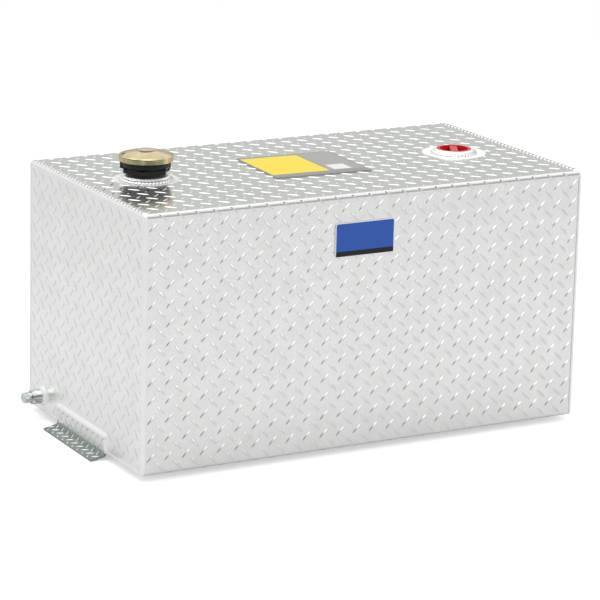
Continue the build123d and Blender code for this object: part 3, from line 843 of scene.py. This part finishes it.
@dataclass
class Tread:
    """The tread pattern on every plate of the tank."""

    faces: TankFaces
    shop: Shop
    pitch: float = 35.15 * MM
    top_pitch: float = 37.5 * MM
    bend_pitches: float = 0.176
    bend_radius: float = 7.0 * MM
    first_across: float = 17.3 * MM
    front_row: float = 454.7 * MM
    edge_trim: float = 6.5 * MM
    stub: float = 2.0 * MM
    seam_height: float = 60.0 * MM
    seam_clear: float = 6.0 * MM
    bracket_clear: float = 9.0 * MM
    drain_clear: float = 27.0 * MM
    cover_margin: float = 4.0 * MM
    ground_radius: float = 62.0 * MM
    ground_overlap: float = 7.0 * MM
    ground_soft: float = 3.0 * MM
    ground_sink: float = 0.3 * MM
    ground_rise: float = 2.5 * MM
    lug: Lug = Lug()
    top_lug: Lug = Lug(26.5 * MM, 4.8 * MM, 0.9 * MM, bluntness=0.5)
    end_lug: Lug = Lug(height=0.75 * MM)

    def build(self) -> None:
        """Build the lugs of the wrapper and of both ends."""
        self._wrapper()
        self._end("left", 62.0 * MM, 386.9 * MM, -1.0)
        self._end("right", 44.0 * MM, 372.0 * MM, 1.0)

    @property
    def upright(self) -> float:
        """Height of the flat part of the front."""
        return self.faces.top - self.faces.bottom - 2 * self.bend_radius

    @property
    def depth(self) -> float:
        """Depth of the flat part of the top."""
        return self.faces.back - self.faces.front - 2 * self.bend_radius

    @property
    def arc(self) -> float:
        """Length of the outer surface round one bend."""
        return self.bend_radius * math.pi / 2

    def around(self, turns: float) -> float:
        """Turn a count of pitches from the front's lower bend into a distance round the section.

        Args:
            turns: Pitches from the lower end of the front's flat part, negative under the tank.

        Returns:
            The distance round the section.
        """
        bend = (self.arc, self.arc / self.bend_pitches)
        sides = ((self.upright, self.pitch), bend, (self.depth, self.top_pitch), bend)
        place = 0.0
        left = abs(turns)
        order = (0, 1, 2, 3, 0, 1, 2) if turns >= 0 else (1, 2, 3, 0, 1, 2, 3)
        for index in order:
            length, pitch = sides[index]
            count = length / pitch
            if left <= count:
                return math.copysign(place + left * pitch, turns)
            place += length
            left -= count
        return math.copysign(place, turns)

    def onto_wrapper(self, across: float, up: float, height: float) -> Vector:
        """Wrap a point of the developed sheet round the tank's section.

        Args:
            across: Distance from the left end.
            up: Distance round the section from the front's lower bend.
            height: Height over the plate.

        Returns:
            The point's place on the tank.
        """
        faces, radius = self.faces, self.bend_radius
        up = up % (2 * (self.upright + self.depth + 2 * self.arc))
        sides = (
            (Vector((faces.front, faces.bottom + radius)), Vector((0, 1)), self.upright),
            (Vector((faces.front + radius, faces.top)), Vector((1, 0)), self.depth),
            (Vector((faces.back, faces.top - radius)), Vector((0, -1)), self.upright),
            (Vector((faces.back - radius, faces.bottom)), Vector((-1, 0)), self.depth),
        )
        for start, way, length in sides:
            outward = Vector((-way.y, way.x))
            if up <= length:
                place = start + way * up + outward * height
                break
            up -= length
            if up <= self.arc:
                angle = up / radius
                ray = outward * math.cos(angle) + way * math.sin(angle)
                place = start + way * length - outward * radius + ray * (radius + height)
                break
            up -= self.arc
        else:
            place = Vector((faces.front - height, faces.bottom + radius))
        return Vector((faces.left + across, place.x, place.y))

    def _rows(self) -> Iterator[tuple[float, Slant, float]]:
        """Find the rows round the wrapper, which leave its seam free.

        Yields:
            Each row's distance round, its slant and its first place across.
        """
        first = (self.front_row - self.bend_radius) / self.pitch
        seam = self.seam_height - self.bend_radius
        low = -(self.arc + self.depth + self.arc + seam)
        high = self.upright + self.arc + self.depth + self.arc + self.upright - seam
        for count in range(-80, 81):
            place = self.around(first + count / 2)
            if not low + self.seam_clear < place < high - self.seam_clear:
                continue
            if count % 2 == 0:
                yield place, Slant.RISING, self.first_across
            else:
                yield place, Slant.FALLING, self.first_across + self.pitch / 2

    def _covered(self, place: Vector) -> bool:
        """Say whether a lug's middle lies under the placard or the badge or on ground metal.

        Args:
            place: The lug's middle.

        Returns:
            Whether the lug is left out.
        """
        faces, margin = self.faces, self.cover_margin
        on_top = place.z > faces.top - margin
        on_front = place.y < faces.front + margin
        for node, up, facing in (("placard", 1, on_top), ("badge", 2, on_front)):
            low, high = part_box(node)
            if facing and all(low[axis] + margin < place[axis] < high[axis] - margin for axis in (0, up)):
                return True
        reach = self.ground_radius - self.ground_overlap
        return on_top and any(
            math.hypot(place.x - axis.x, place.y - axis.y) < reach for axis in (faces.fill, faces.pump)
        )

    def _grind(self, bm: BMesh) -> None:
        """Sink the lugs' points where the plate is ground round the bungs.

        Args:
            bm: The flat lugs of the top.
        """
        for vert in bm.verts:
            place = self.onto_wrapper(vert.co.x, vert.co.y, 0.0)
            if place.z < self.faces.top - 1.0 * MM:
                continue
            for axis in (self.faces.fill, self.faces.pump):
                away = math.hypot(place.x - axis.x, place.y - axis.y) - self.ground_radius
                share = min(max((away + self.ground_soft) / (2 * self.ground_soft), 0.0), 1.0)
                vert.co.z = min(vert.co.z, share * self.ground_rise - self.ground_sink)

    def _wrapper(self) -> None:
        """Build the lugs of the front, top, back and bottom, one piece for each side."""
        length = self.faces.right - self.faces.left
        near = self.edge_trim - self.stub
        half_arc = self.arc / 2
        front_top = self.upright + half_arc
        top_back = self.upright + 3 * half_arc + self.depth
        spans = {
            "front": (-half_arc, front_top),
            "top": (front_top, top_back),
            "back": (top_back, math.inf),
            "bottom": (-math.inf, -half_arc),
        }
        rows = list(self._rows())
        for side, (low, high) in spans.items():
            places = []
            for up, slant, start in rows:
                if not low <= up < high:
                    continue
                for step in range(-1, int((length - start) / self.pitch) + 2):
                    across = start + step * self.pitch
                    bare = not self._covered(self.onto_wrapper(across, up, 0.0))
                    if bare and near < across < length - near:
                        places.append(LugPlace(across, up, slant))
            sheet = LugSheet(self.top_lug if side == "top" else self.lug)
            bm = sheet.lay(places)
            sheet.trim(bm, 0, self.edge_trim, length - self.edge_trim)
            if side == "top":
                self._grind(bm)
            sheet.bend(bm, self.onto_wrapper)
            add_piece(bm, f"tread_lugs_{side}", self.shop["tread_lug"], "tank")

    def _end(self, side: str, first_y: float, first_z: float, outward: float) -> None:
        """Build the lugs of one end panel.

        Args:
            side: Name of the end.
            first_y: Distance of a lug from the front face.
            first_z: Height of that lug over the bottom.
            outward: Which way the panel faces along X.
        """
        faces, trim, clear = self.faces, self.edge_trim, self.bracket_clear
        width = faces.back - faces.front
        height = faces.top - faces.bottom
        near = trim - self.stub
        low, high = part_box(f"bracket_{side}")
        count = range(-30, 31)
        places = []
        for place in staggered(count, count, (first_y, first_z), (self.top_pitch / 2, self.pitch / 2)):
            y, z = faces.front + place.across, faces.bottom + place.up
            on_plate = near < place.across < width - near and near < place.up < height - near
            on_bracket = low.y - clear < y < high.y + clear and z < high.z + clear
            from_drain = math.hypot(y - faces.drain.y, z - faces.drain.z)
            if on_plate and not on_bracket and (side != "left" or from_drain >= self.drain_clear):
                places.append(place)
        sheet = LugSheet(self.end_lug)
        bm = sheet.lay(places)
        sheet.trim(bm, 0, trim, width - trim)
        sheet.trim(bm, 1, trim, height - trim)
        origin = Vector((faces.wall(outward), faces.front, faces.bottom))
        sheet.bend(bm, lambda across, up, over: origin + Vector((outward * over, across, up)))
        add_piece(bm, f"tread_lugs_{side}_end", self.shop["end_lug"], "tank")


@dataclass
class BracketTread:
    """The tread on the outer side of a foot bracket's leg and the top of its foot."""

    faces: TankFaces
    shop: Shop
    side: str
    outward: float
    plate: float = 3.2 * MM
    slope: float = math.radians(11.7)
    sink: float = 2.6 * MM
    bend_radius: float = 3.2 * MM
    foot_length: float = 29.2 * MM
    pitch: float = 22.0 * MM
    first: Pair = (9.0 * MM, 4.0 * MM)
    end_trim: float = 2.0 * MM
    edge_trim: float = 1.5 * MM
    lug: Lug = Lug(length=18.5 * MM, width=3.9 * MM, height=1.2 * MM)

    def __post_init__(self) -> None:
        """Measure the bracket."""
        self.low, self.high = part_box(f"bracket_{self.side}")
        self.face = self.faces.wall(self.outward) + self.outward * self.plate
        self.turn = math.pi / 2 - self.slope
        corner = self.bend_radius * math.tan(self.turn / 2)
        self.leg = self.high.z - (self.faces.bottom - self.sink) - corner
        self.foot = self.foot_length - corner

    def build(self) -> None:
        """Lay the lugs along the bracket and bend them over its inside corner."""
        length = self.high.y - self.low.y
        reach = self.leg + self.turn * self.bend_radius + self.foot
        sheet = LugSheet(self.lug)
        step = (self.pitch / 2, self.pitch / 2)
        bm = sheet.lay(list(staggered(range(8), range(24), self.first, step)))
        sheet.trim(bm, 0, self.end_trim, length - self.end_trim)
        sheet.trim(bm, 1, self.edge_trim, reach - self.edge_trim)
        sheet.bend(bm, self.onto)
        add_piece(bm, f"tread_lugs_bracket_{self.side}", self.shop["bracket_lug"], "tank")

    def onto(self, across: float, down: float, over: float) -> Vector:
        """Carry a point of the flat strip onto the bracket, down the leg and out to the foot's tip.

        Args:
            across: Distance from the bracket's front end.
            down: Distance from the leg's top.
            over: Height over the plate.

        Returns:
            The point's place on the bracket.
        """
        radius = self.bend_radius
        y = self.low.y + across
        if down <= self.leg:
            return Vector((self.face + self.outward * over, y, self.high.z - down))
        down -= self.leg
        angle = min(down / radius, self.turn)
        rest = max(down - self.turn * radius, 0.0)
        x = rest * math.sin(angle) - (radius - over) * math.cos(angle)
        z = -rest * math.cos(angle) - (radius - over) * math.sin(angle)
        return Vector((self.face + self.outward * radius + self.outward * x, y, self.high.z - self.leg + z))


@dataclass(frozen=True)
class BeadPath:
    """A line that a weld follows: its length and the place and axes at a distance along it."""

    length: float
    at: Callable[[float], tuple[Vector, Vector, Vector]]
    closed: bool = False


@dataclass(frozen=True)
class Bead:
    """The size and shape of a rippled weld bead, with its lengths in metres."""

    half_width: float
    height: float
    pitch: float
    depth: float = 0.35
    sink: float = 0.6 * MM
    steps: int = 5
    crescent: float = 0.55
    waist: float = 0.1
    end_height: float = 0.35
    edge_rise: float = 0.6
    root: float = 0.85

    def build(self, name: str, path: BeadPath, material: Material, replaces: Sequence[str] = ()) -> None:
        """Sweep the rippled section along a path.

        Args:
            name: The piece's name.
            path: The line that the bead follows.
            material: The bead's material.
            replaces: Nodes of the frame that the bead stands for.
        """
        stations = max(round(path.length / self.pitch), 1) * self.steps
        profile = self._profile()
        bm = bmesh.new()
        bmesh.ops.create_grid(bm, x_segments=stations, y_segments=len(profile) - 1, size=1.0)
        rise = bm.verts.layers.float.new("rise")
        for vert in bm.verts:
            station = round((vert.co.x + 1) / 2 * stations)
            side, up = profile[round((vert.co.y + 1) / 2 * (len(profile) - 1))]
            share = (station % self.steps) / self.steps
            level = 1.0 - self.depth * share ** 1.5
            along = path.length * station / stations
            back = self.crescent * self.pitch * (1.0 - side * side) if up > 0 else 0.0
            shifted = along + back
            if not path.closed:
                level *= min(self.end_height + min(along, path.length - along) / self.pitch, 1.0)
                shifted = min(shifted, path.length)
            centre, across, out = path.at(shifted)
            height = up * self.height * level if up > 0 else up * self.sink
            width = self.half_width * (1.0 - self.waist + self.waist * level)
            vert.co = centre + across * side * width + out * height
            # The last station of each ripple takes the darkest colour, painted shade in the ripple's trough,
            # and the bead's edges take some of it as painted shade at the toe.
            shaded_hollow = station % self.steps == self.steps - 1
            vert[rise] = 0.0 if shaded_hollow else min(1.0, max(up, 0.0) + self.edge_rise)
        bmesh.ops.remove_doubles(bm, verts=bm.verts, dist=MERGE)
        close_rim(bm)
        bmesh.ops.recalc_face_normals(bm, faces=bm.faces)
        for face in bm.faces:
            face.smooth = True
        piece = add_piece(bm, name, material, "tank")
        if replaces:
            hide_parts(*replaces)

    def _profile(self) -> list[tuple[float, float]]:
        """Trace the section from its left edge over the crown and back through the plate.

        Returns:
            The points as shares of the half width and of the height.
        """
        angles = [math.pi * step / 6 for step in range(1, 6)]
        crown = [(-math.cos(angle), math.sin(angle)) for angle in angles]
        return [(-1.0, 0.0), *crown, (1.0, 0.0), (self.root, -1.0), (-self.root, -1.0), (-1.0, 0.0)]


@dataclass
class Welds:
    """The welds whose ripples show."""

    faces: TankFaces
    shop: Shop
    ring: Bead = Bead(3.9 * MM, 1.7 * MM, 6.7 * MM, depth=0.6, sink=2.0 * MM)
    top: Bead = Bead(5.6 * MM, 2.2 * MM, 12.5 * MM, depth=0.85)
    corner: Bead = Bead(5.0 * MM, 2.6 * MM, 9.0 * MM, depth=0.12, sink=1.0 * MM)
    bracket: Bead = Bead(5.6 * MM, 2.4 * MM, 9.0 * MM, depth=0.25, sink=2.0 * MM)
    bracket_end: Bead = Bead(5.0 * MM, 2.4 * MM, 8.0 * MM, depth=0.2, sink=1.6 * MM)
    ring_leg: float = 6.2 * MM
    ring_height: float = 4.6 * MM

    def build(self) -> None:
        """Build each rippled bead."""
        for name, axis in (("fill", self.faces.fill), ("pump", self.faces.pump)):
            low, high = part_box(f"{name}_bung")
            path = self._circle(axis, (high.x - low.x) / 2)
            metal = self.shop["weld_bead"]
            self.ring.build(f"{name}_ring_bead", path, metal, (f"{name}_bung_weld",))
        for side, outward in SIDES:
            self._side(side, outward)
        LOG.info("welds done")

    def _circle(self, axis: Vector, flange: float) -> BeadPath:
        """Give a closed path round a flange, leaning from the flange's upper edge down to the plate.

        Args:
            axis: The bung's upright axis.
            flange: The flange's radius.

        Returns:
            The path through the middle of the bead's slope.
        """
        radius = flange + self.ring_leg / 2
        steep = Vector((self.ring_leg, -self.ring_height)).normalized()
        up = Vector((0.0, 0.0, 1.0))
        middle = Vector((axis.x, axis.y, self.faces.top + self.ring_height / 2))

        def at(distance: float) -> tuple[Vector, Vector, Vector]:
            """Place on the ring at a distance along it."""
            ray = Vector((math.cos(distance / radius), math.sin(distance / radius), 0.0))
            return middle + ray * radius, ray * steep.x + up * steep.y, up * steep.x - ray * steep.y

        return BeadPath(2 * math.pi * radius, at, closed=True)

    @staticmethod
    def _line(start: Sequence[float], axis: int, stop: float, across: Vector, out: Vector) -> BeadPath:
        """Give a straight path along one of the axes.

        Args:
            start: Where the path starts.
            axis: Number of the axis that it follows.
            stop: Where it ends on that axis.
            across: Direction across the bead.
            out: Direction out of the metal.

        Returns:
            The path.
        """
        first, last = Vector(start), Vector(start)
        last[axis] = stop
        way = (last - first).normalized()
        return BeadPath((last - first).length, lambda distance: (first + way * distance, across, out))

    def _side(self, side: str, outward: float) -> None:
        """Build the beads along one end panel and its foot bracket.

        Args:
            side: Name of the end.
            outward: Which way the panel faces along X.
        """
        faces = self.faces
        wall = faces.wall(outward)
        low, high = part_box(f"bracket_{side}")
        rippled, calm = self.shop["weld_bead"], self.shop["weld_metal"]
        inset = 5.0 * MM
        start = (wall - outward * 6.0 * MM, faces.front + inset, faces.top)
        path = self._line(start, 1, faces.back - inset, Vector((1, 0, 0)), Vector((0, 0, 1)))
        self.top.build(f"top_bead_{side}", path, rippled)
        inset = 7.0 * MM
        start = (wall - outward * 2.2 * MM, faces.front + 1.6 * MM, faces.bottom + inset)
        across, out = (Vector((outward, way, 0)).normalized() for way in (1, -1))
        self.corner.build(f"corner_bead_{side}", self._line(start, 2, faces.top - inset, across, out), calm)
        reach = 2.0 * MM
        start = (wall + outward * 1.5 * MM, low.y - reach, high.z + 3.6 * MM)
        across, out = Vector((outward * 0.6, 0, -0.8)), Vector((outward * 0.8, 0, 0.6))
        self.bracket.build(f"bracket_bead_{side}", self._line(start, 1, high.y + reach, across, out), calm)
        start = (wall + outward * 1.8 * MM, low.y - 1.4 * MM, high.z)
        across, out = Vector((outward * 0.6, 0.8, 0)), Vector((outward * 0.8, -0.6, 0))
        path = self._line(start, 2, faces.bottom + 3.0 * MM, across, out)
        self.bracket_end.build(f"bracket_end_bead_{side}", path, calm)


@dataclass
class BreatherSpring:
    """The breather's spring, which shortens between the cap and the poppet."""

    shop: Shop
    node: Object

    def build(self) -> None:
        """Copy the spring's solid as a piece of its own and hide the node."""
        low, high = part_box(self.node.name)
        middle = middle_of(self.node.name)
        bm = bmesh.new()
        bm.from_mesh(self.node.data)
        bmesh.ops.remove_doubles(bm, verts=bm.verts, dist=TOUCH)
        piece = new_object(bm, "breather_spring", self.shop["spring_wire"])
        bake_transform(piece)
        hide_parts(self.node.name)
        LOG.info("piece %s: %d faces", piece.name, len(piece.data.polygons))


@dataclass
class Studio:
    """Camera, floor, sky and lamps."""

    faces: TankFaces
    azimuth: float = -27.386
    elevation: float = 13.256
    roll: float = 0.951
    place: tuple[float, float, float] = (-2.15133, -4.39903, 1.64329)
    sensor: float = 36.0
    focal_pixels: float = 2893.47
    photo_pixels: float = 600.0
    shift: float = 0.15
    room_light: float = 0.77
    high_sky: Colour = (1.12, 1.12, 1.12)
    high_front: Colour = (1.8, 1.8, 1.8)
    high_aside: Colour = (0.92, 0.92, 0.92)
    low_back: Colour = (0.56, 0.57, 0.555)
    low_right: Colour = (0.80, 0.80, 0.80)
    low_front: Colour = (0.10, 0.12, 0.11)
    low_middle: Colour = (0.42, 0.43, 0.42)
    front_band: Pair = (0.50, 0.64)
    back_band: Pair = (0.29, 0.38)
    behind_band: Pair = (-0.3, 0.2)
    behind_lean: float = 0.4
    bright_band: Pair = (0.0, 0.25)
    middle_band: Pair = (0.05, 0.35)
    right_band: Pair = (0.72, 0.86)
    floor_colour: Colour = (0.80, 0.80, 0.80)
    floor_half: float = 3.2
    floor_glow_seen: float = 0.46
    floor_glow_mirrored: float = 0.05

    def build(self) -> None:
        """Build the whole studio."""
        self._camera()
        self._world()
        self._floor()
        self._lamps()
        bpy.context.scene.view_settings.view_transform = "Standard"

    def _camera(self) -> None:
        """Place the camera as it stood for the photograph."""
        a, e, r = (math.radians(angle) for angle in (self.azimuth, self.elevation, self.roll))
        back = Vector((math.sin(a) * math.cos(e), -math.cos(a) * math.cos(e), math.sin(e)))
        right = (-back).cross(Vector((0, 0, 1))).normalized()
        up = right.cross(-back)
        turned_right = right * math.cos(r) + up * math.sin(r)
        turned_up = up * math.cos(r) - right * math.sin(r)
        data = bpy.data.cameras.new("camera")
        data.lens = self.focal_pixels / self.photo_pixels * self.sensor
        data.sensor_width = self.sensor
        data.shift_x = self.shift
        data.shift_y = -self.shift
        data.clip_end = 100.0
        camera = bpy.data.objects.new("camera", data)
        bpy.context.scene.collection.objects.link(camera)
        corner = Vector((self.faces.left, self.faces.front, self.faces.bottom))
        matrix = Matrix((turned_right, turned_up, back)).transposed().to_4x4()
        matrix.translation = corner + Vector(self.place)
        camera.matrix_world = matrix
        bpy.context.scene.camera = camera

    def _world(self) -> None:
        """White to the camera, a soft room to the plate, and for reflections a sky with a dim low front."""
        world = bpy.data.worlds.new("studio")
        bpy.context.scene.world = world
        world.use_nodes = True
        pen = NodePen(world.node_tree)
        room = world.node_tree.nodes["Background"]
        room.inputs[0].default_value = rgba((1.0, 1.0, 1.0))
        room.inputs[1].default_value = self.room_light
        axes = pen.add("SeparateXYZ", {0: pen.add("TexCoord").outputs["Generated"]})
        across, depth, height = axes.outputs
        turned = pen.math("ADD", depth, pen.times(across, self.behind_lean))
        low_front = pen.remap(height, *self.front_band, 1.0, 0.0)
        low_back = pen.remap(height, *self.back_band, 1.0, 0.0)
        dim = pen.mix(pen.remap(across, *self.middle_band), rgba(self.low_front), rgba(self.low_middle))
        bright = pen.mix(pen.remap(across, *self.bright_band), rgba(self.high_front), rgba(self.high_aside))
        front = pen.mix(low_front, bright, dim)
        back = pen.mix(low_back, rgba(self.high_sky), rgba(self.low_back))
        sky = pen.mix(pen.remap(turned, *self.behind_band), front, back)
        right = pen.times(pen.remap(across, *self.right_band), low_front)
        sky = pen.mix(right, sky, rgba(self.low_right))
        mirrored = pen.add("Background", {0: sky, 1: 1.0})
        white = pen.add("Background", {0: rgba((1.0, 1.0, 1.0)), 1: 1.0})
        path = pen.add("LightPath")
        reflect = pen.add("MixShader", {0: pen.mirrored(path), 1: room.outputs[0], 2: mirrored.outputs[0]})
        seen = path.outputs["Is Camera Ray"]
        both = pen.add("MixShader", {0: seen, 1: reflect.outputs[0], 2: white.outputs[0]})
        pen.link(both.outputs[0], world.node_tree.nodes["World Output"].inputs[0])

    def _floor(self) -> None:
        """A pale floor that keeps the tank's soft shadow."""
        material = bpy.data.materials.new("floor")
        material.use_nodes = True
        nodes = material.node_tree.nodes
        nodes.remove(nodes["Principled BSDF"])
        pen = NodePen(material.node_tree)
        path = pen.add("LightPath")
        diffuse = pen.add("BsdfDiffuse", {"Color": rgba(self.floor_colour)})
        seen = pen.times(path.outputs["Is Camera Ray"], self.floor_glow_seen)
        strength = pen.math("ADD", seen, pen.times(pen.mirrored(path), self.floor_glow_mirrored))
        glow = pen.add("Emission", {"Color": rgba((1.0, 1.0, 1.0)), "Strength": strength})
        both = pen.add("AddShader", {0: diffuse.outputs[0], 1: glow.outputs[0]})
        pen.link(both.outputs[0], nodes["Material Output"].inputs[0])
        bm = bmesh.new()
        bmesh.ops.create_grid(bm, x_segments=1, y_segments=1, size=self.floor_half)
        floor = new_object(bm, "floor", material)

    @staticmethod
    def _lamps() -> None:
        """A large soft lamp overhead, one above the front and one at the right."""
        for name, place, target, size, brightness in (
            ("overhead", (-0.6, 0.6, 3.4), (0.0, 0.0, 0.3), 3.0, 1.25),
            ("front_above", (0.2, -3.0, 3.4), (0.0, 0.0, 0.25), 1.8, 1.0),
            ("right_card", (3.2, -1.2, 2.1), (0.0, 0.0, 0.25), 1.6, 1.0),
        ):
            data = bpy.data.lights.new(name, "AREA")
            data.shape = "SQUARE"
            data.size = size
            data.energy = brightness * math.pi * size * size
            lamp = bpy.data.objects.new(name, data)
            bpy.context.scene.collection.objects.link(lamp)
            way = Vector(target) - Vector(place)
            lamp.rotation_euler = way.to_track_quat("-Z", "Y").to_euler()
            lamp.location = place


def main() -> None:
    """Build the looks around the frame."""
    logging.basicConfig(level=logging.INFO, format="%(name)s: %(message)s")
    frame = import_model()
    faces = TankFaces.read()
    shop = Shop(Effects(), faces)
    shop.dress_nodes(frame["nodes"])
    Tread(faces, shop).build()
    for side, outward in SIDES:
        BracketTread(faces, shop, side, outward).build()
    Welds(faces, shop).build()
    BreatherSpring(shop, frame["nodes"]["vent_spring"]).build()
    Studio(faces).build()


if __name__ == "__main__":
    main()
